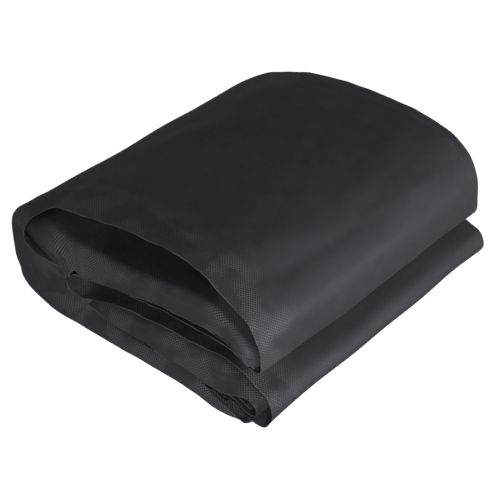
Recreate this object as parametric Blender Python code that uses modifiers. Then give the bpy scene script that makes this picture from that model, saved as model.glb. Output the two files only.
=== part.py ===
"""Fine black bird netting, rolled flat into a strip of six layers and folded over once.

X runs along the bundle from its open front end to the back, Y from the noses, where the layers
turn back, to the broad turn of the fold, and Z up from the surface that the bundle lies on.
The netting is one sheet. Its section is one unbroken line through all six layers, which is
lofted along X and given a thickness.
"""

import bmesh
import bpy
import numpy as np

# Sizes and places in the tables are in millimetres, measured from the front plane, the tip of
# the noses and the surface underneath.
MM = 0.001
BUNDLE_LENGTH = 300.0  # the netting's width, selvedge to selvedge
SHEET_THICKNESS = 1.8
CENTRE_X = 143.5  # the bundle's middle, which becomes the origin
CENTRE_Y = 137.0
NET_COLOUR = (0.022, 0.023, 0.026, 1.0)
NET_ROUGHNESS = 0.62

# The outer and the inner face of the strip around the fold: from the upper nose over the top,
# down the broad turn and along the underside to the lower nose. Then, as shares of the way
# from the outer face to the inner one, where the four layers between them lie.
FACE_COLUMNS = (
    "outer_y", "outer_z_front", "outer_z_back", "inner_y", "inner_z_front", "inner_z_body",
)
MIDDLE_LAYERS = ("second", "third", "fourth", "fifth")
FOLD_COLUMNS = FACE_COLUMNS + MIDDLE_LAYERS
FOLD_ROWS = (
    (20, 88, 95, 20, 50, 37.5, 0.13, 0.34, 0.62, 0.84),
    (38, 101, 110, 40, 57, 42.5, 0.20, 0.42, 0.66, 0.85),
    (60, 114, 118, 66, 61, 46, 0.38, 0.55, 0.72, 0.87),
    (92, 121.5, 122.5, 95, 61, 47, 0.54, 0.67, 0.79, 0.90),
    (127, 121, 125.5, 126, 61, 47, 0.58, 0.70, 0.81, 0.91),
    (162, 118.5, 124.5, 154, 59, 46.5, 0.57, 0.69, 0.80, 0.90),
    (197, 113, 120, 178, 57, 45.5, 0.53, 0.66, 0.78, 0.89),
    (229, 106, 111, 196, 54.5, 44.5, 0.44, 0.58, 0.72, 0.86),
    (256, 97, 100, 206, 51.5, 43.5, 0.30, 0.47, 0.64, 0.82),
    (273, 83, 85, 210, 46, 41, 0.22, 0.42, 0.61, 0.80),
    (277, 53, 53, 208, 41.5, 38.5, 0.20, 0.40, 0.60, 0.80),
    (268, 21, 21, 203, 39, 37, 0.19, 0.39, 0.60, 0.80),
    (242, 5, 5, 194, 38, 36.5, 0.17, 0.37, 0.59, 0.81),
    (205, 0.9, 0.9, 176, 39.5, 36.5, 0.15, 0.34, 0.58, 0.82),
    (160, 0.9, 0.9, 150, 43, 37.5, 0.13, 0.32, 0.57, 0.84),
    (115, 0.9, 0.9, 112, 46, 38, 0.12, 0.30, 0.56, 0.84),
    (72, 0.9, 0.9, 72, 45.5, 38, 0.12, 0.30, 0.55, 0.83),
    (38, 0.9, 0.9, 38, 43, 37, 0.12, 0.32, 0.56, 0.82),
    (16, 0.9, 0.9, 15, 34.5, 31, 0.13, 0.38, 0.60, 0.81),
)
FLARE_LENGTH = 75.0  # how far in the inner face falls from its front height to its body height
TOP_SAG = 1.5  # how much lower the top layer hangs halfway along

# The netting's way through the layers, numbered from the outermost, 0, to the innermost, 5:
# it starts under the bundle, and at each nose it turns from one layer into another.
LAYER_ORDER = (0, 5, 1, 4, 2, 3)
NOSE_TURNS = (
    {"nose": "upper, outermost turn", "tip_y": 9, "tip_z": 60},
    {"nose": "lower, outermost turn", "tip_y": -3, "tip_z": 15},
    {"nose": "upper, middle turn", "tip_y": 12.5, "tip_z": 65},
    {"nose": "lower, inner turn", "tip_y": 6.5, "tip_z": 18},
    {"nose": "upper, innermost turn", "tip_y": 16.5, "tip_z": 69},
)
TURN_ANGLES = np.radians((45, 90, 135))  # the points of a turn, on a half ellipse

# The selvedges. A row for each layer says, at five places around the fold, how far its edge
# stands back along X and through how many degrees its border curls towards the inner face.
EDGE_PLACES = {"upper_nose": 0, "top": 4, "turn": 10, "below": 15, "lower_nose": 18}
BORDER_WIDTH = 36.0
FRONT_EDGE_ROWS = (
    (0, 0, 0, -2, -8),
    (-13, -12, -4, 3, -10),
    (-9, 12, 2, 10, -2),
    (-6, 14, 4, 12, -2),
    (-5, 4, 6, -12, -6),
    (1, 0, 4, 0, 0),
)
FRONT_CURL_ROWS = (
    (0, 5, 8, 0, 0),
    (0, 80, 50, 0, 0),
    (0, 0, 50, 0, 0),
    (0, 0, 45, 0, 0),
    (0, 0, 30, -80, 0),
    (0, 0, 0, 0, 0),
)
BACK_EDGE_ROWS = (
    (0, 0, 0, 3, 4),
    (5, 3, 5, 4, 6),
    (7, 6, 4, 7, 3),
    (3, 8, 7, 3, 5),
    (6, 4, 6, 5, 7),
    (1, 3, 4, 2, 0),
)
BACK_CURL_ROWS = (
    (0, 0, 15, 0, 0),
    (0, 25, 30, 0, 0),
    (0, 0, 25, 0, 0),
    (0, 0, 20, 0, 0),
    (0, 0, 15, -25, 0),
    (0, 0, 0, 0, 0),
)

# Where the loft's sections stand, as distances along the netting from its front selvedge.
LOFT_STATIONS = (0, 9, 18, 27, 36, 75, 130, 190, 240, 264, 282, 300)
LAYER_STEPS = (2, 1, 1, 1, 1, 2)  # pieces between two rows of the fold table, for each layer


def table_column(rows, columns, name):
    """One named column of a table."""
    return np.array([row[columns.index(name)] for row in rows], float)


def faces_at(along):
    """The strip's outer and inner face around the fold, as Y and Z, at a distance along it."""
    fold = {name: table_column(FOLD_ROWS, FOLD_COLUMNS, name) for name in FOLD_COLUMNS}
    to_back = along / BUNDLE_LENGTH
    flare = max(0.0, 1 - along / FLARE_LENGTH) ** 2
    outer_z = fold["outer_z_front"] * (1 - to_back) + fold["outer_z_back"] * to_back
    outer_z -= TOP_SAG * np.sin(np.pi * to_back) * (outer_z > 60)
    inner_z = fold["inner_z_front"] * flare + fold["inner_z_body"] * (1 - flare)
    outer = np.stack([fold["outer_y"], outer_z], 1)
    inner = np.stack([fold["inner_y"], inner_z], 1)
    return outer, inner


def layers_at(along):
    """The six layers at a distance along the bundle, and the way inwards at each point."""
    outer, inner = faces_at(along)
    shares = [np.zeros(len(FOLD_ROWS))]
    shares += [table_column(FOLD_ROWS, FOLD_COLUMNS, name) for name in MIDDLE_LAYERS]
    shares += [np.ones(len(FOLD_ROWS))]
    inwards = (inner - outer) / np.linalg.norm(inner - outer, axis=1)[:, None]
    return [outer + (inner - outer) * share[:, None] for share in shares], inwards


def around_fold(values):
    """A layer's values at the five places, spread over all rows of the fold table."""
    return np.interp(range(len(FOLD_ROWS)), list(EDGE_PLACES.values()), values)


def turn_points(before, after, turn):
    """The points on a nose's turn, between the last point before it and the first after it."""
    blend = (1 - np.cos(TURN_ANGLES)[:, None]) / 2
    points = before + (after - before) * blend
    centre = (before[:2] + after[:2]) / 2
    reach = (turn["tip_y"], turn["tip_z"]) - centre
    points[:, :2] += np.sin(TURN_ANGLES)[:, None] * reach
    return points


def section_points(along):
    """The whole section at a distance along the bundle, a row for each point: its Y and Z, the
    way inwards, and the set-back and curl of its front and back selvedge."""
    layers, inwards = layers_at(along)
    rows = []
    for place, number in enumerate(LAYER_ORDER):
        borders = [
            around_fold(table[number])
            for table in (FRONT_EDGE_ROWS, FRONT_CURL_ROWS, BACK_EDGE_ROWS, BACK_CURL_ROWS)
        ]
        layer = np.column_stack([layers[number], inwards, *borders])
        if place % 2 == 0:
            layer = layer[::-1]  # on its way from a lower nose to an upper one
        if place:
            rows.append(turn_points(rows[-1][-1], layer[0], NOSE_TURNS[place - 1]))
        rows.append(layer)
    return np.concatenate(rows)


def section_steps():
    """How many pieces each span between two points of the section is cut into."""
    owners = []
    for place, number in enumerate(LAYER_ORDER):
        if place:
            owners += [owners[-1]] * len(TURN_ANGLES)
        owners += [number] * len(FOLD_ROWS)
    return [LAYER_STEPS[owner] for owner in owners[:-1]]


def smooth_line(points, steps):
    """A smooth curve through the points, by cubic pieces, cut into steps between each two."""
    lengths = np.linalg.norm(np.diff(points[:, :2], axis=0), axis=1)
    slopes = np.gradient(points, np.concatenate([[0], np.cumsum(lengths)]), axis=0)
    line = []
    for n, count in enumerate(steps):
        start, end = points[n], points[n + 1]
        leave, arrive = slopes[n] * lengths[n], slopes[n + 1] * lengths[n]
        for t in np.arange(count) / count:
            line.append(
                start * (2 * t**3 - 3 * t**2 + 1) + leave * (t**3 - 2 * t**2 + t)
                + end * (3 * t**2 - 2 * t**3) + arrive * (t**3 - t**2)
            )
    line.append(points[-1])
    return np.array(line)


def curl(past_root, degrees):
    """How far a border that curls evenly runs on along X, and how far it turns to the side, at
    a distance past its root."""
    angle = np.radians(np.where(np.abs(degrees) < 0.5, 0.5, degrees))
    radius = BORDER_WIDTH / angle
    turned = past_root / radius
    return radius * np.sin(turned), radius * (1 - np.cos(turned))


def loft_row(along):
    """The section's points in space at a distance along the netting from its front selvedge."""
    line = smooth_line(section_points(along), section_steps())
    y, z, in_y, in_z, front_back, front_curl, back_back, back_curl = line.T
    z = np.maximum(z, SHEET_THICKNESS / 2)
    front_root = front_back + BORDER_WIDTH
    back_root = BUNDLE_LENGTH - back_back - BORDER_WIDTH
    past_front = max(0.0, BORDER_WIDTH - along)
    past_back = max(0.0, along - (BUNDLE_LENGTH - BORDER_WIDTH))
    share = (along - BORDER_WIDTH) / (BUNDLE_LENGTH - 2 * BORDER_WIDTH)
    x = front_root + (back_root - front_root) * np.clip(share, 0, 1)
    forward, front_side = curl(past_front, front_curl)
    backward, back_side = curl(past_back, back_curl)
    side = front_side + back_side
    return np.column_stack([x - forward + backward, y + in_y * side, z + in_z * side])


def netting_material():
    """Matt black polyethylene."""
    material = bpy.data.materials.new("black_net")
    material.use_nodes = True
    shader = material.node_tree.nodes["Principled BSDF"]
    shader.inputs["Base Color"].default_value = NET_COLOUR
    shader.inputs["Roughness"].default_value = NET_ROUGHNESS
    shader.inputs["Metallic"].default_value = 0.0
    return material


def make_netting(collection):
    """The folded sheet: a grid whose rows are the loft's sections, made thick by Solidify."""
    rows = np.array([loft_row(along) for along in LOFT_STATIONS])
    rows = (rows - (CENTRE_X, CENTRE_Y, 0)) * MM
    across, points = rows.shape[0] - 1, rows.shape[1] - 1
    shape = bmesh.new()
    bmesh.ops.create_grid(shape, x_segments=points, y_segments=across, size=0.5)
    for corner in shape.verts:
        point = round((corner.co.x + 0.5) * points)
        row = round((corner.co.y + 0.5) * across)
        corner.co = rows[row, point]
    mesh = bpy.data.meshes.new("netting")
    shape.to_mesh(mesh)
    shape.free()
    mesh.materials.append(netting_material())
    netting = bpy.data.objects.new("netting", mesh)
    collection.objects.link(netting)
    thick = netting.modifiers.new("thickness", "SOLIDIFY")
    thick.thickness = SHEET_THICKNESS * MM
    thick.offset = 0.0
    thick.use_even_offset = True
    mesh.shade_smooth()
    return netting


def main():
    for old in list(bpy.data.objects):
        bpy.data.objects.remove(old, do_unlink=True)
    collection = bpy.data.collections.new("bird_netting")
    bpy.context.scene.collection.children.link(collection)
    make_netting(collection)


main()
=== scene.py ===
"""Folded black bird netting on a pale surface: its looks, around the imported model.

The netting is one thin sheet, lofted along X through a section of six layers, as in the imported
model, with finer borders, creases and a knitted mesh. Lengths in the tables are millimetres,
measured from the front plane, the tip of the noses and the surface underneath.
"""

import math

import bmesh
import bpy
import numpy as np
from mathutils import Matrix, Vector


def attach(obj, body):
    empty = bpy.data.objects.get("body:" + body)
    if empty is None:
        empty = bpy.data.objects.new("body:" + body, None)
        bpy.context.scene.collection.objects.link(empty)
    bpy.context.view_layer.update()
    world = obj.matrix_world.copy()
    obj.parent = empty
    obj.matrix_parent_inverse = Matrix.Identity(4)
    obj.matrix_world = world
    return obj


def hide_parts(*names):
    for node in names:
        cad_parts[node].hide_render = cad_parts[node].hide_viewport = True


MM = 0.001
BUNDLE_LENGTH = 300.0
SHEET_THICKNESS = 0.6
CENTRE_X = 143.5
CENTRE_Y = 137.0

# The fold: the outer and the inner face of the rolled strip, from the upper nose over the top,
# down the broad turn and along the underside to the lower nose, and the layers in between, each
# as a share of the way from the outer to the inner face.
FACE_COLUMNS = (
    "outer_y", "outer_z_front", "outer_z_back", "inner_y", "inner_z_front", "inner_z_body",
)
MIDDLE_LAYERS = ("second", "third", "fourth", "fifth")
FOLD_COLUMNS = FACE_COLUMNS + MIDDLE_LAYERS
FOLD_ROWS = (
    (20, 88, 95, 20, 50, 37.5, 0.38, 0.60, 0.77, 0.93),
    (38, 101, 110, 40, 57, 42.5, 0.40, 0.62, 0.78, 0.93),
    (60, 114, 118, 66, 61, 46, 0.42, 0.64, 0.79, 0.93),
    (92, 122, 122.5, 95, 61, 47, 0.53, 0.67, 0.80, 0.92),
    (127, 121.5, 125.5, 126, 61, 47, 0.58, 0.70, 0.81, 0.91),
    (162, 119.5, 124.5, 154, 59, 46.5, 0.57, 0.69, 0.80, 0.90),
    (197, 114.5, 120, 178, 57, 45.5, 0.53, 0.66, 0.78, 0.89),
    (229, 107.5, 111, 196, 54.5, 44.5, 0.36, 0.54, 0.70, 0.86),
    (256, 98, 100, 206, 51.5, 43.5, 0.16, 0.38, 0.60, 0.82),
    (273, 84, 85, 206, 50, 41, 0.14, 0.36, 0.58, 0.80),
    (277, 54, 53, 204, 46, 38.5, 0.14, 0.36, 0.58, 0.80),
    (268, 21, 21, 200, 41.5, 37, 0.14, 0.36, 0.58, 0.80),
    (242, 5, 5, 194, 38, 36.5, 0.15, 0.36, 0.58, 0.85),
    (205, 0.3, 0.3, 176, 39.5, 36.5, 0.15, 0.34, 0.58, 0.91),
    (160, 0.3, 0.3, 150, 43, 37.5, 0.13, 0.32, 0.57, 0.92),
    (115, 0.3, 0.3, 112, 46, 38, 0.12, 0.30, 0.56, 0.92),
    (72, 0.3, 0.3, 72, 46.5, 38, 0.11, 0.26, 0.42, 0.88),
    (38, 0.3, 0.3, 38, 45, 37, 0.11, 0.24, 0.36, 0.82),
    (16, 0.3, 0.3, 15, 36.5, 31, 0.13, 0.27, 0.40, 0.82),
)
# The inner face opens out over this length behind the front, and the part of the outer face above
# this height sags in the middle.
FLARE_LENGTH = 75.0
TOP_SAG = 1.5
TOP_FROM = 60.0

# The sheet's way through the layers, counted from the outermost, and the turns between them.
LAYER_ORDER = (0, 5, 1, 4, 2, 3)
NOSE_TURNS = (
    {"nose": "upper, outermost turn", "tip_y": 9, "tip_z": 60},
    {"nose": "lower, outermost turn", "tip_y": -3, "tip_z": 15},
    {"nose": "upper, middle turn", "tip_y": 11, "tip_z": 58},
    {"nose": "lower, inner turn", "tip_y": 6.5, "tip_z": 18},
    {"nose": "upper, innermost turn", "tip_y": 16, "tip_z": 62},
)
TURN_ANGLES = np.radians((45, 90, 135))

# The selvedges, a row for each layer from the outermost to the innermost, and a number for
# each place around the fold: where the border's root lies along X, how much of the border
# bends, how far it hangs on straight past its bend, and through how many degrees it bends
# towards the inside of the roll.
EDGE_PLACES = {
    "upper_nose": 0, "brow": 1, "shoulder": 2, "top": 4, "far_top": 6.8, "corner": 7.6,
    "ear": 8.2, "high_turn": 9.3, "turn": 10.3, "low_turn": 11.5, "low_left": 12.7, "below": 14,
    "near_right": 16.2, "lower_lobe": 17, "lower_nose": 18,
}
NONE_ALONG = (0,) * len(EDGE_PLACES)
FRONT_ROOT_ROWS = (
    (14, 18, 24, 30, 28, 19, -3, 7.5, 4.5, 4.5, 7, 4.5, 1, -4, 0.5),
    (1, 3, 5, 7, 7.5, 6, 4.5, 5, 8, 18, 34, 30, 16, 10, 5),
    (8, 12, 16, 30, 40, 40, 42, 44, 44, 44, 44, 34, 16, 9, 5),
    (10, 14, 18, 32, 40, 45, 50, 50, 50, 50, 50, 36, 18, 11, 6),
    (14, 16, 18, 20, 30, 32, 34, 34, 34, 24, 16, 12, 11, 9.5, 7),
    (10, 12, 14, 20, 20, 17, 14, 11, 10.5, 12, 14, 14, 13, 12, 10),
)
FRONT_BEND_ROWS = (
    (14, 19, 24, 30, 30, 26, 16, 18, 16, 16, 20, 28, 26, 16, 12),
    (9, 9, 10, 13, 14, 15, 16, 16, 16, 16, 14, 14, 12, 8, 10),
    (10, 12, 14, 14, 14, 14, 14, 14, 14, 14, 14, 14, 12, 8, 10),
    (14, 14, 14, 14, 14, 14, 14, 14, 14, 14, 14, 14, 12, 8, 10),
    (14, 15, 16, 18, 18, 18, 18, 18, 18, 18, 20, 20, 18, 16, 14),
    (10, 12, 14, 20, 20, 20, 20, 20, 20, 20, 18, 14, 13, 12, 10),
)
FRONT_HANG_ROWS = (
    (0, 0, 0, 0, 0, 0, 24, 57, 59, 54, 30, 1, 0, 0, 0),
    (4, 9, 15, 12, 21, 38, 54, 56, 51, 41, 4, 0, 0, 0, 0),
    NONE_ALONG,
    NONE_ALONG,
    (0, 0, 0, 0, 0, 0, 0, 0, 0, 0, 0, 4, 17, 10, 1),
    NONE_ALONG,
)
FRONT_CURL_ROWS = (
    (4, 2, 0, 0, 0, 5, 82, 88, 90, 91, 98, 150, 150, 130, 40),
    (62, 76, 80, 80, 81, 83, 87, 88, 88, 82, 40, 10, 0, -8, -5),
    (0, 0, 0, 20, 20, 10, 0, 0, 0, 0, 0, 0, 0, 0, 0),
    NONE_ALONG,
    (0, 0, 0, 0, 0, 0, 0, 0, 0, 20, 60, 80, 80, 68, 40),
    (0, 0, 0, 0, 0, 0, 0, 0, 0, 0, 0, 0, 0, -4, -6),
)
BACK_ROOT_ROWS = (
    (286, 281, 276, 264, 264, 266, 268, 269, 270, 274, 276, 277, 280, 282, 284),
    (281, 276, 272, 262, 260, 262, 264, 265, 267, 272, 275, 276, 280, 282, 282),
    (279, 274, 270, 258, 259, 260, 262, 264, 267, 270, 272, 273, 282, 284, 285),
    (283, 276, 270, 256, 256, 258, 260, 262, 264, 271, 275, 277, 281, 282, 283),
    (280, 276, 271, 260, 258, 260, 262, 264, 266, 268, 262, 259, 270, 274, 281),
    (285, 280, 274, 267, 267, 268, 270, 271, 272, 276, 277, 278, 283, 284, 288),
)
OUTER_BACK_BEND = (14, 19, 24, 36, 36, 34, 32, 31, 30, 26, 22, 20, 17, 16, 12)
BACK_BEND_ROWS = (
    OUTER_BACK_BEND,
    OUTER_BACK_BEND,
    OUTER_BACK_BEND,
    OUTER_BACK_BEND,
    (14, 19, 24, 36, 36, 34, 32, 31, 30, 26, 34, 36, 26, 20, 12),
    (14, 19, 24, 30, 30, 28, 26, 25, 24, 20, 20, 20, 17, 16, 12),
)
BACK_CURL_ROWS = (
    (5, 5, 5, 4, 8, 9, 11, 13, 15, 10, 8, 4, 1, 0, 0),
    (0, -4, -12, -40, -42, -30, -20, 0, 20, 20, 10, 0, 0, 0, 0),
    (0, 0, 0, 0, 12, 16, 20, 22, 25, 12, 4, 0, 0, 0, 0),
    (0, 0, 0, 0, -10, -13, -16, -18, -20, -10, -4, 0, 0, 0, 0),
    (0, 0, 0, 0, -8, -10, -12, -14, -15, 0, 30, 45, 25, 20, 0),
    NONE_ALONG,
)
LEAST_CURL = 0.5
# The middle of the roll, from near the noses to the broad turn: the borders of the outer layers
# lean towards it.
CORE = np.array(((30.0, 47.0), (188.0, 49.0)))
OUTER_LAYERS = 3

# Soft creases: ridges (height above 0) and troughs that follow a path of points, each at a row
# of the fold table and a distance along X, on one layer.
CREASES = (
    {"crease": "ridge behind the front border", "layer": 0, "height": 1.0, "width": 4.5,
     "path": ((8.3, 22), (7.2, 28), (6.3, 37), (5.4, 36), (4.5, 30), (3.6, 22), (2.6, 16))},
    {"crease": "trough behind that ridge", "layer": 0, "height": -0.7, "width": 7,
     "path": ((7.8, 38), (6.8, 46), (5.6, 50), (4.4, 44))},
    {"crease": "diagonal over the top", "layer": 0, "height": -0.8, "width": 11,
     "path": ((4.6, 60), (3.6, 96), (2.7, 140), (2.0, 190))},
    {"crease": "long ridge on the shoulder", "layer": 0, "height": 0.9, "width": 12,
     "path": ((2.2, 20), (1.7, 80), (1.5, 150), (1.9, 230), (2.6, 285))},
    {"crease": "hollow of the crown", "layer": 0, "height": -1.3, "width": 24,
     "path": ((5.6, 150), (4.6, 190), (4.2, 235))},
    {"crease": "pull towards the nose", "layer": 0, "height": -0.8, "width": 7,
     "path": ((1.2, 30), (0.7, 70), (0.5, 120), (0.9, 170))},
    {"crease": "second pull", "layer": 0, "height": 0.6, "width": 6,
     "path": ((1.9, 60), (1.1, 120), (0.4, 190), (0.2, 250))},
    {"crease": "far border ridge", "layer": 0, "height": 0.7, "width": 4,
     "path": ((1.0, 288), (2.0, 286), (3.2, 284), (4.6, 285), (6.0, 286))},
    {"crease": "soft fold on the back of the top", "layer": 0, "height": 0.9, "width": 14,
     "path": ((7.0, 110), (6.2, 180), (6.6, 250))},
    {"crease": "soft fold on the turn", "layer": 0, "height": -1.0, "width": 8,
     "path": ((9.2, 20), (9.8, 90), (9.5, 170), (10.0, 260))},
    {"crease": "dent in the turn's front", "layer": 0, "height": -2.0, "width": 6,
     "path": ((10.6, -12), (10.6, 4), (10.3, 26))},
    {"crease": "dent in the second layer's flap", "layer": 1, "height": -2.4, "width": 7,
     "path": ((8.0, -20), (8.0, 4), (7.9, 20))},
    {"crease": "fold across the flap", "layer": 1, "height": 1.6, "width": 6,
     "path": ((9.0, -30), (9.6, -8), (9.4, 16))},
    {"crease": "lower fold across the flap", "layer": 1, "height": -1.6, "width": 6,
     "path": ((10.6, -34), (10.9, -10), (11.2, 12))},
    {"crease": "sag of the lower lobe", "layer": 5, "height": 0.8, "width": 10,
     "path": ((17.0, 10), (16.6, 100), (16.9, 200), (16.4, 280))},
)

# Gentle waves over the whole sheet: their lengths along the section and along X, and height.
WAVES = (
    {"along": 143.0, "across": 210.0, "height": 0.45, "phase": 0.4},
    {"along": 71.0, "across": -95.0, "height": 0.28, "phase": 2.1},
    {"along": 37.0, "across": 118.0, "height": 0.16, "phase": 4.4},
)
# Ripples of the cut edges: length along the section and height at the front edge, how far they
# fade, and the share of them at the back edge.
EDGE_RIPPLES = ((61.0, 0.7), (23.0, 0.35), (9.1, 0.12))
RIPPLE_FADE = 14.0
BACK_RIPPLES = 0.4

# How fine the loft is: pieces between two rows of the fold table for each layer, rows across
# the front border, the body and the back border, and sections that the rows are read from.
LAYER_STEPS = (8, 7, 4, 3, 5, 5)
FRONT_ROWS = 20
BODY_ROWS = 34
BACK_ROWS = 8
SECTION_SPACING = 6.0


def table_column(rows, columns, name):
    """One named column of a table."""
    return np.array([row[columns.index(name)] for row in rows], float)


def faces_at(along):
    """The strip's outer and inner face around the fold, as Y and Z, at a distance along it."""
    fold = {name: table_column(FOLD_ROWS, FOLD_COLUMNS, name) for name in FOLD_COLUMNS}
    to_back = along / BUNDLE_LENGTH
    flare = max(0.0, 1 - along / FLARE_LENGTH) ** 2
    outer_z = fold["outer_z_front"] * (1 - to_back) + fold["outer_z_back"] * to_back
    outer_z -= TOP_SAG * np.sin(np.pi * to_back) * (outer_z > TOP_FROM)
    inner_z = fold["inner_z_front"] * flare + fold["inner_z_body"] * (1 - flare)
    outer = np.stack([fold["outer_y"], outer_z], 1)
    inner = np.stack([fold["inner_y"], inner_z], 1)
    return outer, inner


def layers_at(along):
    """The six layers around the fold at a distance along the bundle."""
    outer, inner = faces_at(along)
    shares = [np.zeros(len(FOLD_ROWS))]
    shares += [table_column(FOLD_ROWS, FOLD_COLUMNS, name) for name in MIDDLE_LAYERS]
    shares += [np.ones(len(FOLD_ROWS))]
    return [outer + (inner - outer) * share[:, None] for share in shares]


def around_fold(values):
    """A layer's values at the named places, spread over all rows of the fold table."""
    return np.interp(range(len(FOLD_ROWS)), list(EDGE_PLACES.values()), values)


def turn_points(before, after, turn):
    """The points on a nose's turn, between the last point before it and the first after it."""
    blend = (1 - np.cos(TURN_ANGLES)[:, None]) / 2
    points = before + (after - before) * blend
    centre = (before[:2] + after[:2]) / 2
    reach = (turn["tip_y"], turn["tip_z"]) - centre
    points[:, :2] += np.sin(TURN_ANGLES)[:, None] * reach
    return points


BORDER_TABLES = (
    FRONT_ROOT_ROWS, FRONT_BEND_ROWS, FRONT_HANG_ROWS, FRONT_CURL_ROWS,
    BACK_ROOT_ROWS, BACK_BEND_ROWS, BACK_CURL_ROWS,
)


def section_points(along):
    """The whole section at a distance along the bundle, a row for each point: its Y and Z, the
    layer and the row of the fold table that it lies at, and its values from the border tables."""
    layers = layers_at(along)
    fold_rows = np.arange(len(FOLD_ROWS), dtype=float)
    rows = []
    for place, number in enumerate(LAYER_ORDER):
        borders = [around_fold(table[number]) for table in BORDER_TABLES]
        label = np.full(len(FOLD_ROWS), float(number))
        layer = np.column_stack([layers[number], label, fold_rows, *borders])
        if place % 2 == 0:
            layer = layer[::-1]
        if place:
            rows.append(turn_points(rows[-1][-1], layer[0], NOSE_TURNS[place - 1]))
        rows.append(layer)
    return np.concatenate(rows)


def section_steps():
    """How many pieces each span between two points of the section is cut into."""
    owners = []
    for place, number in enumerate(LAYER_ORDER):
        if place:
            owners += [owners[-1]] * len(TURN_ANGLES)
        owners += [number] * len(FOLD_ROWS)
    return [LAYER_STEPS[owner] for owner in owners[:-1]]


def smooth_line(points, steps):
    """A smooth curve through the points, by cubic pieces, cut into steps between each two."""
    lengths = np.linalg.norm(np.diff(points[:, :2], axis=0), axis=1)
    slopes = np.gradient(points, np.concatenate([[0], np.cumsum(lengths)]), axis=0)
    line = []
    for n, count in enumerate(steps):
        start, end = points[n], points[n + 1]
        leave, arrive = slopes[n] * lengths[n], slopes[n + 1] * lengths[n]
        for t in np.arange(count) / count:
            line.append(
                start * (2 * t**3 - 3 * t**2 + 1) + leave * (t**3 - 2 * t**2 + t)
                + end * (3 * t**2 - 2 * t**3) + arrive * (t**3 - t**2)
            )
    line.append(points[-1])
    return np.array(line)


def left_normals(line):
    """The direction towards the inside of the roll at each point of the section."""
    along = np.gradient(line[:, :2], axis=0)
    along /= np.linalg.norm(along, axis=1)[:, None]
    return np.column_stack([-along[:, 1], along[:, 0]])


def border_directions(line):
    """The direction in which the borders bend at each point of the section: towards the middle
    of the roll for the outer layers, and straight to the inside for the others."""
    run = CORE[1] - CORE[0]
    share = np.clip((line[:, :2] - CORE[0]) @ run / (run @ run), 0, 1)
    to_core = CORE[0] + share[:, None] * run - line[:, :2]
    to_core /= np.linalg.norm(to_core, axis=1)[:, None]
    outer = line[:, 2] < OUTER_LAYERS - 0.5
    return np.where(outer[:, None], to_core, left_normals(line))


def curl(past_root, bend, degrees):
    """How far a border runs on along X, and how far it turns to the side, at a distance past
    its root: it bends evenly and then hangs on straight."""
    angle = np.radians(np.where(np.abs(degrees) < LEAST_CURL, LEAST_CURL, degrees))
    radius = bend / angle
    turned = np.minimum(past_root, bend) / radius
    straight = np.maximum(past_root - bend, 0)
    forward = radius * np.sin(turned) + straight * np.cos(angle)
    sideways = radius * (1 - np.cos(turned)) + straight * np.sin(angle)
    return forward, sideways


def crease_relief(layer, fold_row, along_section, x):
    """How far the creases lift the sheet outwards at its points."""
    relief = np.zeros(len(x))
    for crease in CREASES:
        own = np.abs(layer - crease["layer"]) < 0.5
        rows = np.array([row for row, _ in crease["path"]])
        order = np.argsort(fold_row[own])
        path_s = np.interp(rows, fold_row[own][order], along_section[own][order])
        path = np.column_stack([path_s, [place for _, place in crease["path"]]])
        points = np.column_stack([along_section, x])
        nearest = np.full(len(x), np.inf)
        for start, end in zip(path[:-1], path[1:]):
            run = end - start
            share = np.clip((points - start) @ run / (run @ run), 0, 1)
            gap = np.linalg.norm(points - start - share[:, None] * run, axis=1)
            nearest = np.minimum(nearest, gap)
        relief += crease["height"] * np.exp(-((nearest / crease["width"]) ** 2)) * own
    return relief


def wave_relief(along_section, x):
    """How far the gentle waves lift the sheet at its points."""
    relief = np.zeros(len(x))
    for wave in WAVES:
        turns = along_section / wave["along"] + x / wave["across"]
        relief += wave["height"] * np.sin(2 * np.pi * turns + wave["phase"])
    return relief


def edge_ripples(along_section, from_front, from_back):
    """How far the cut edges ripple to the side."""
    fade = np.exp(-from_front / RIPPLE_FADE) + BACK_RIPPLES * np.exp(-from_back / RIPPLE_FADE)
    ripples = [
        height * np.sin(2 * np.pi * along_section / length + length)
        for length, height in EDGE_RIPPLES
    ]
    return fade * sum(ripples)


def line_at(sections, flat_x):
    """The section's points, each at its own distance along the bundle."""
    place = np.clip(flat_x, 0, BUNDLE_LENGTH) / SECTION_SPACING
    before = np.minimum(place.astype(int), len(sections) - 2)
    point = np.arange(sections.shape[1])
    blend = (place - before)[:, None]
    return sections[before, point] * (1 - blend) + sections[before + 1, point] * blend


def netting_row(sections, along_section, station):
    """One row of the sheet's points, in millimetres, and for each point its flat position and
    its distance from the front and the back edge. The station runs from 0 to 1 over the front
    border, to 2 over the body and to 3 over the back border."""
    middle = sections[len(sections) // 2]
    front_root, bend, hang, front_curl, back_root, back_bend, back_curl = middle[:, 4:].T
    x = front_root + (back_root - front_root) * np.clip(station - 1, 0, 1)
    past_front = max(0.0, 1 - station) * (bend + hang)
    past_back = max(0.0, station - 2) * back_bend
    flat_x = x - past_front + past_back
    line = line_at(sections, flat_x)
    forward, front_side = curl(past_front, bend, front_curl)
    backward, back_side = curl(past_back, back_bend, back_curl)
    from_front = x - front_root + bend + hang - past_front + past_back
    from_back = back_root + back_bend - flat_x
    relief = crease_relief(line[:, 2], line[:, 3], along_section, flat_x)
    relief += wave_relief(along_section, flat_x)
    relief += edge_ripples(along_section, from_front, from_back)
    yz = line[:, :2] - left_normals(line) * relief[:, None]
    yz += border_directions(line) * (front_side + back_side)[:, None]
    z = np.maximum(yz[:, 1], SHEET_THICKNESS / 2)
    return np.column_stack([
        x - forward + backward, yz[:, 0], z, along_section, flat_x, from_front, from_back,
    ])


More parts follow.
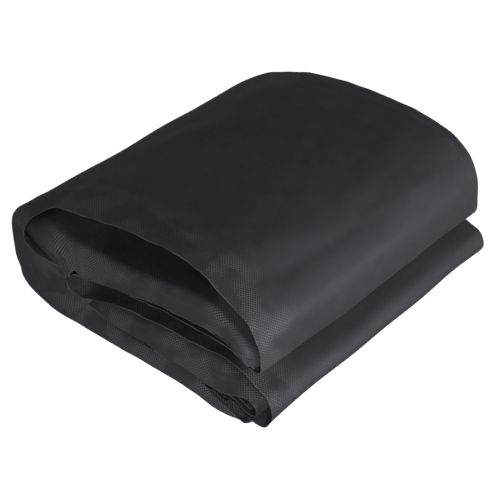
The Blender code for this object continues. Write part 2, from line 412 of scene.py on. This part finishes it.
def netting_rows():
    """All rows of the sheet, from its front edge to its back edge."""
    distances = np.arange(0, BUNDLE_LENGTH + SECTION_SPACING, SECTION_SPACING)
    steps = section_steps()
    sections = np.array([smooth_line(section_points(along), steps) for along in distances])
    middle = sections[len(sections) // 2]
    pieces = np.linalg.norm(np.diff(middle[:, :2], axis=0), axis=1)
    along_section = np.concatenate([[0], np.cumsum(pieces)])
    stations = np.concatenate([
        np.linspace(0, 1, FRONT_ROWS + 1)[:-1],
        np.linspace(1, 2, BODY_ROWS + 1)[:-1],
        np.linspace(2, 3, BACK_ROWS + 1),
    ])
    return np.array([netting_row(sections, along_section, station) for station in stations])


def netting_sheet():
    """The folded netting as one thin closed sheet, with UV maps in metres: "flat", its flat
    position, and "edges", the distances from its front and back edge."""
    rows = netting_rows()
    places = (rows[:, :, :3] - (CENTRE_X, CENTRE_Y, 0)) * MM
    flat, edges = rows[:, :, 3:5] * MM, rows[:, :, 5:] * MM
    across, points = rows.shape[0] - 1, rows.shape[1] - 1
    shape = bmesh.new()
    flat_map = shape.loops.layers.uv.new("flat")
    edge_map = shape.loops.layers.uv.new("edges")
    bmesh.ops.create_grid(shape, x_segments=points, y_segments=across, size=0.5)
    grid = {}
    for corner in shape.verts:
        point = round((corner.co.x + 0.5) * points)
        row = round((corner.co.y + 0.5) * across)
        grid[corner.index] = (row, point)
        corner.co = places[row, point]
    for face in shape.faces:
        for loop in face.loops:
            loop[flat_map].uv = flat[grid[loop.vert.index]]
            loop[edge_map].uv = edges[grid[loop.vert.index]]
    mesh = bpy.data.meshes.new("netting_sheet")
    shape.to_mesh(mesh)
    shape.free()
    sheet = bpy.data.objects.new("netting_sheet", mesh)
    bpy.context.scene.collection.objects.link(sheet)
    thick = sheet.modifiers.new("thickness", "SOLIDIFY")
    thick.thickness = SHEET_THICKNESS * MM
    thick.offset = 0.0
    thick.use_even_offset = False
    mesh.shade_smooth()
    return sheet


MESH_PITCH = 1.9
STRAND_FROM = 0.22  # the strands' flanks, as distances from a cell's middle in pitches
STRAND_TO = 0.40
STRAND_HEIGHT = 0.4
HOLE_ALPHA = 0.91
DARK_NET = (0.0095, 0.0100, 0.0130, 1.0)
PALE_NET = (0.0245, 0.0255, 0.0310, 1.0)
# Painted light: in patches near the front border the holes are painted dark and the strands
# bright, for light through the sheer netting.
LIT_PATCH_NET = (0.0028, 0.0031, 0.0045, 1.0)
STRAND_TONE = (0.0240, 0.0250, 0.0302, 1.0)
LIT_PATCH_STRAND = (0.062, 0.063, 0.072, 1.0)
# Painted highlight along the cut edges, between a dimmer and a brighter level in random patches.
DIM_EDGE_HIGHLIGHT = (0.020, 0.021, 0.025, 1.0)
BRIGHT_EDGE_HIGHLIGHT = (0.058, 0.060, 0.066, 1.0)
SELVEDGE_TONE = (0.0310, 0.0320, 0.0360, 1.0)
# Widths from the edges inwards, and the share of each at which its soft change starts: of the
# painted highlight along the cut edges, the selvedge line and the painted light patches.
EDGE_HIGHLIGHT_WIDTH = 0.8
EDGE_HIGHLIGHT_SOFT = 0.7
SELVEDGE_WIDTH = 12.0
SELVEDGE_LINE = 0.5
SELVEDGE_SOFT = 0.5
# How far from the front edge the painted light patches reach, and where they fade.
LIT_PATCH_REACH = 55.0
LIT_PATCH_SOFT = 0.4
# The uneven patches: their size and detail, and the levels of the noise that they run between.
# They are in the tone, in how bright the painted highlight along the cut edges is and, near the
# front border, in the painted light through the sheer netting. The last ones are fine crinkles.
MOTTLE_SIZE = 13.0
MOTTLE_DETAIL = 5.0
MOTTLE_FROM = 0.3
MOTTLE_TO = 0.7
PATCH_DETAIL = 2.0
# The patches in the painted highlight along the cut edges.
EDGE_HIGHLIGHT_PATCH = 30.0
EDGE_HIGHLIGHT_FROM = 0.38
EDGE_HIGHLIGHT_TO = 0.62
# The patches of painted light through the sheer netting near the front border.
LIT_PATCH_SIZE = 34.0
LIT_PATCH_FROM = 0.44
LIT_PATCH_TO = 0.58
CRINKLE_SIZE = 15.0
CRINKLE_DETAIL = 4.0
CRINKLE_HEIGHT = 0.7
BUMP_STRENGTH = 0.6


def math_node(nodes, links, operation, first, second=None):
    """A Math node whose inputs are sockets or numbers. Gives its output socket."""
    node = nodes.new("ShaderNodeMath")
    node.operation = operation
    for place, value in enumerate((first, second)):
        if value is None:
            continue
        if isinstance(value, (int, float)):
            node.inputs[place].default_value = value
        else:
            links.new(value, node.inputs[place])
    return node.outputs[0]


def uv_axes(nodes, links, name):
    """The two coordinates of a UV map."""
    uv_map = nodes.new("ShaderNodeUVMap")
    uv_map.uv_map = name
    axes = nodes.new("ShaderNodeSeparateXYZ")
    links.new(uv_map.outputs["UV"], axes.inputs[0])
    return axes.outputs[0], axes.outputs[1]


def smooth_step(nodes, links, value, start, end):
    """0 where the value is below start, 1 above end, and a smooth change between them."""
    step = nodes.new("ShaderNodeMapRange")
    step.interpolation_type = "SMOOTHSTEP"
    step.inputs["From Min"].default_value = start
    step.inputs["From Max"].default_value = end
    links.new(value, step.inputs["Value"])
    return step.outputs["Result"]


def mixed_colour(nodes, links, factor, first, second):
    """A mix of two colours, each a socket or a fixed colour."""
    mix = nodes.new("ShaderNodeMix")
    mix.data_type = "RGBA"
    links.new(factor, mix.inputs["Factor"])
    for name, value in (("A", first), ("B", second)):
        if isinstance(value, tuple):
            mix.inputs[name].default_value = value
        else:
            links.new(value, mix.inputs[name])
    return mix.outputs["Result"]


def strand_mask(nodes, links):
    """1 on the strands of a net of diamond cells and 0 in their middles, in flat position."""
    along, across = uv_axes(nodes, links, "flat")
    waves = []
    for operation in ("ADD", "SUBTRACT"):
        slanted = math_node(nodes, links, operation, along, across)
        counted = math_node(nodes, links, "DIVIDE", slanted, MESH_PITCH * MM * math.sqrt(2))
        waves.append(math_node(nodes, links, "PINGPONG", counted, 0.5))
    ridge = math_node(nodes, links, "MAXIMUM", waves[0], waves[1])
    return smooth_step(nodes, links, ridge, STRAND_FROM, STRAND_TO)


def uneven(nodes, links, size, detail):
    """Soft noise over the flat netting, about 0.5 on average, with patches of a given size."""
    uv_map = nodes.new("ShaderNodeUVMap")
    uv_map.uv_map = "flat"
    noise = nodes.new("ShaderNodeTexNoise")
    noise.inputs["Scale"].default_value = 1 / (size * MM)
    noise.inputs["Detail"].default_value = detail
    links.new(uv_map.outputs["UV"], noise.inputs["Vector"])
    return noise.outputs["Fac"]


def painted_light_patch_mask(nodes, links, from_front):
    """1 in the patches near the front border where light through the sheer netting is painted in.
    """
    noise = uneven(nodes, links, LIT_PATCH_SIZE, PATCH_DETAIL)
    patches = smooth_step(nodes, links, noise, LIT_PATCH_FROM, LIT_PATCH_TO)
    away = smooth_step(nodes, links, from_front, LIT_PATCH_REACH * MM * LIT_PATCH_SOFT, LIT_PATCH_REACH * MM)
    near = math_node(nodes, links, "SUBTRACT", 1.0, away)
    return math_node(nodes, links, "MULTIPLY", patches, near)


def selvedge_mask(nodes, links, from_edge):
    """1 on the fine line along the inner side of the selvedge."""
    off_line = math_node(nodes, links, "SUBTRACT", from_edge, SELVEDGE_WIDTH * MM)
    off_line = math_node(nodes, links, "ABSOLUTE", off_line)
    half_width = SELVEDGE_LINE * MM
    away = smooth_step(nodes, links, off_line, half_width * SELVEDGE_SOFT, half_width)
    return math_node(nodes, links, "SUBTRACT", 1.0, away)


def net_tone(nodes, links, strands):
    """The netting's colour: mottled, with painted light in patches near the front border, as
    bright strands over dark holes, a fine selvedge line and a painted highlight along the cut
    edges."""
    from_front, from_back = uv_axes(nodes, links, "edges")
    from_edge = math_node(nodes, links, "MINIMUM", from_front, from_back)
    mottle_noise = uneven(nodes, links, MOTTLE_SIZE, MOTTLE_DETAIL)
    mottle = smooth_step(nodes, links, mottle_noise, MOTTLE_FROM, MOTTLE_TO)
    net = mixed_colour(nodes, links, mottle, DARK_NET, PALE_NET)
    # Painted light through the sheer netting, in patches near the front border.
    lit_patches = painted_light_patch_mask(nodes, links, from_front)
    net = mixed_colour(nodes, links, lit_patches, net, LIT_PATCH_NET)
    strand = mixed_colour(nodes, links, lit_patches, STRAND_TONE, LIT_PATCH_STRAND)
    body = mixed_colour(nodes, links, strands, net, strand)
    line = selvedge_mask(nodes, links, from_edge)
    body = mixed_colour(nodes, links, line, body, SELVEDGE_TONE)
    # Painted highlight along the cut edges, brighter in random patches.
    edge_highlight_noise = uneven(nodes, links, EDGE_HIGHLIGHT_PATCH, PATCH_DETAIL)
    edge_highlight_level = smooth_step(nodes, links, edge_highlight_noise, EDGE_HIGHLIGHT_FROM, EDGE_HIGHLIGHT_TO)
    edge_highlight = mixed_colour(nodes, links, edge_highlight_level, DIM_EDGE_HIGHLIGHT, BRIGHT_EDGE_HIGHLIGHT)
    inside = smooth_step(nodes, links, from_edge, EDGE_HIGHLIGHT_WIDTH * MM * EDGE_HIGHLIGHT_SOFT, EDGE_HIGHLIGHT_WIDTH * MM)
    return mixed_colour(nodes, links, inside, edge_highlight, body)


def relief_node(nodes, links, height, distance):
    """A Bump node for a relief of this depth, driven by a height from 0 to 1."""
    bump = nodes.new("ShaderNodeBump")
    bump.inputs["Strength"].default_value = BUMP_STRENGTH
    bump.inputs["Distance"].default_value = distance
    links.new(height, bump.inputs["Height"])
    return bump


def net_bump(nodes, links, strands):
    """The strands' relief on top of fine crinkles."""
    crinkle_noise = uneven(nodes, links, CRINKLE_SIZE, CRINKLE_DETAIL)
    crinkles = relief_node(nodes, links, crinkle_noise, CRINKLE_HEIGHT * MM)
    mesh = relief_node(nodes, links, strands, STRAND_HEIGHT * MM)
    links.new(crinkles.outputs["Normal"], mesh.inputs["Normal"])
    return mesh.outputs["Normal"]


def net_material():
    """Black knitted mesh: fine diamond cells between dull strands, slightly see-through."""
    material = bpy.data.materials.new("black_mesh")
    material.use_nodes = True
    nodes, links = material.node_tree.nodes, material.node_tree.links
    shader = nodes["Principled BSDF"]
    shader.inputs["Roughness"].default_value = 0.55
    shader.inputs["Specular IOR Level"].default_value = 0.4
    shader.inputs["Specular Tint"].default_value = (0.90, 0.93, 1.0, 1.0)
    shader.inputs["Sheen Weight"].default_value = 0.05
    shader.inputs["Sheen Roughness"].default_value = 0.4
    strands = strand_mask(nodes, links)
    links.new(net_tone(nodes, links, strands), shader.inputs["Base Color"])
    solid = nodes.new("ShaderNodeMapRange")
    solid.inputs["To Min"].default_value = HOLE_ALPHA
    links.new(strands, solid.inputs["Value"])
    links.new(solid.outputs["Result"], shader.inputs["Alpha"])
    links.new(net_bump(nodes, links, strands), shader.inputs["Normal"])
    return material


FLOOR_SIZE = 12.0
FLOOR_GLOW = 1.0
WORLD_BELOW = 0.035
WORLD_HORIZON = 0.22
WORLD_ABOVE = 0.15
LIGHT_TARGET = (0, 0, 0.05)
LIGHTS = (
    {"name": "front", "place": (-0.85, -0.75, 0.35), "size": 0.6, "power": 13.0},
    {"name": "right", "place": (0.12, -0.7, 0.10), "size": 0.3, "power": 3.2},
    {"name": "far_right", "place": (0.6, -0.7, 0.15), "size": 0.4, "power": 1.0},
)


def make_floor():
    """A plain pale floor, luminous like a light table, so shadows on it stay faint. It throws no
    light on the netting: the surroundings alone light it from below."""
    bpy.ops.mesh.primitive_plane_add(size=FLOOR_SIZE)
    floor = bpy.context.object
    floor.name = "floor"
    floor.visible_diffuse = False
    floor.visible_glossy = False
    material = bpy.data.materials.new("pale_floor")
    material.use_nodes = True
    shader = material.node_tree.nodes["Principled BSDF"]
    shader.inputs["Base Color"].default_value = (0.5, 0.5, 0.5, 1.0)
    shader.inputs["Roughness"].default_value = 0.8
    shader.inputs["Emission Color"].default_value = (1.0, 1.0, 1.0, 1.0)
    shader.inputs["Emission Strength"].default_value = FLOOR_GLOW
    floor.data.materials.append(material)


def make_light(name, place, size, power):
    """A square soft light that faces the netting."""
    lamp = bpy.data.lights.new(name, "AREA")
    lamp.shape = "SQUARE"
    lamp.size = size
    lamp.energy = power
    light = bpy.data.objects.new(name, lamp)
    light.location = place
    towards = Vector(LIGHT_TARGET) - Vector(place)
    light.rotation_euler = towards.to_track_quat("-Z", "Y").to_euler()
    bpy.context.scene.collection.objects.link(light)


def grey(level):
    """A grey of an even brightness."""
    return (level, level, level, 1.0)


def make_world():
    """Grey surroundings, with a level of brightness for straight below, around and above."""
    world = bpy.data.worlds.new("studio")
    world.use_nodes = True
    nodes, links = world.node_tree.nodes, world.node_tree.links
    direction = nodes.new("ShaderNodeTexCoord")
    axes = nodes.new("ShaderNodeSeparateXYZ")
    links.new(direction.outputs["Generated"], axes.inputs[0])
    height = nodes.new("ShaderNodeMapRange")
    height.inputs["From Min"].default_value = -1.0
    links.new(axes.outputs[2], height.inputs["Value"])
    levels = nodes.new("ShaderNodeValToRGB")
    levels.color_ramp.elements[0].color = grey(WORLD_BELOW)
    levels.color_ramp.elements[1].color = grey(WORLD_ABOVE)
    levels.color_ramp.elements.new(0.5).color = grey(WORLD_HORIZON)
    links.new(height.outputs["Result"], levels.inputs["Fac"])
    links.new(levels.outputs["Color"], nodes["Background"].inputs["Color"])
    bpy.context.scene.world = world


CAMERA_AZIMUTH = math.radians(-50.3)
CAMERA_ELEVATION = math.radians(34.5)
CAMERA_DISTANCE = 1.179
CAMERA_LENS = 100.0
CAMERA_SENSOR = 36.0
CAMERA_TARGET = Vector((131.0 - CENTRE_X, 128.0 - CENTRE_Y, 40.0)) * MM


def make_camera():
    """The photo's viewpoint: from the front left and above, with a long lens."""
    away = Vector((
        math.sin(CAMERA_AZIMUTH) * math.cos(CAMERA_ELEVATION),
        -math.cos(CAMERA_AZIMUTH) * math.cos(CAMERA_ELEVATION),
        math.sin(CAMERA_ELEVATION),
    ))
    camera = bpy.data.objects.new("camera", bpy.data.cameras.new("camera"))
    camera.data.lens = CAMERA_LENS
    camera.data.sensor_width = CAMERA_SENSOR
    camera.location = CAMERA_TARGET + away * CAMERA_DISTANCE
    camera.rotation_euler = (-away).to_track_quat("-Z", "Y").to_euler()
    bpy.context.scene.collection.objects.link(camera)
    bpy.context.scene.camera = camera


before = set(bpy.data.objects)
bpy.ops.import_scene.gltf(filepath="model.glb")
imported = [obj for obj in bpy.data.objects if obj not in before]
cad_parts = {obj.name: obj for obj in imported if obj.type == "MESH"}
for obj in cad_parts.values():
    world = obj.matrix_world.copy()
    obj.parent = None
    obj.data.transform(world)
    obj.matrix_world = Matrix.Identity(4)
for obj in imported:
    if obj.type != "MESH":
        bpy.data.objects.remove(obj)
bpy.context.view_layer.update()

sheet = netting_sheet()
sheet.data.materials.append(net_material())
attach(sheet, "root")
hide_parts("netting")

make_floor()
make_world()
for values in LIGHTS:
    make_light(**values)
make_camera()
bpy.context.scene.view_settings.view_transform = "Standard"
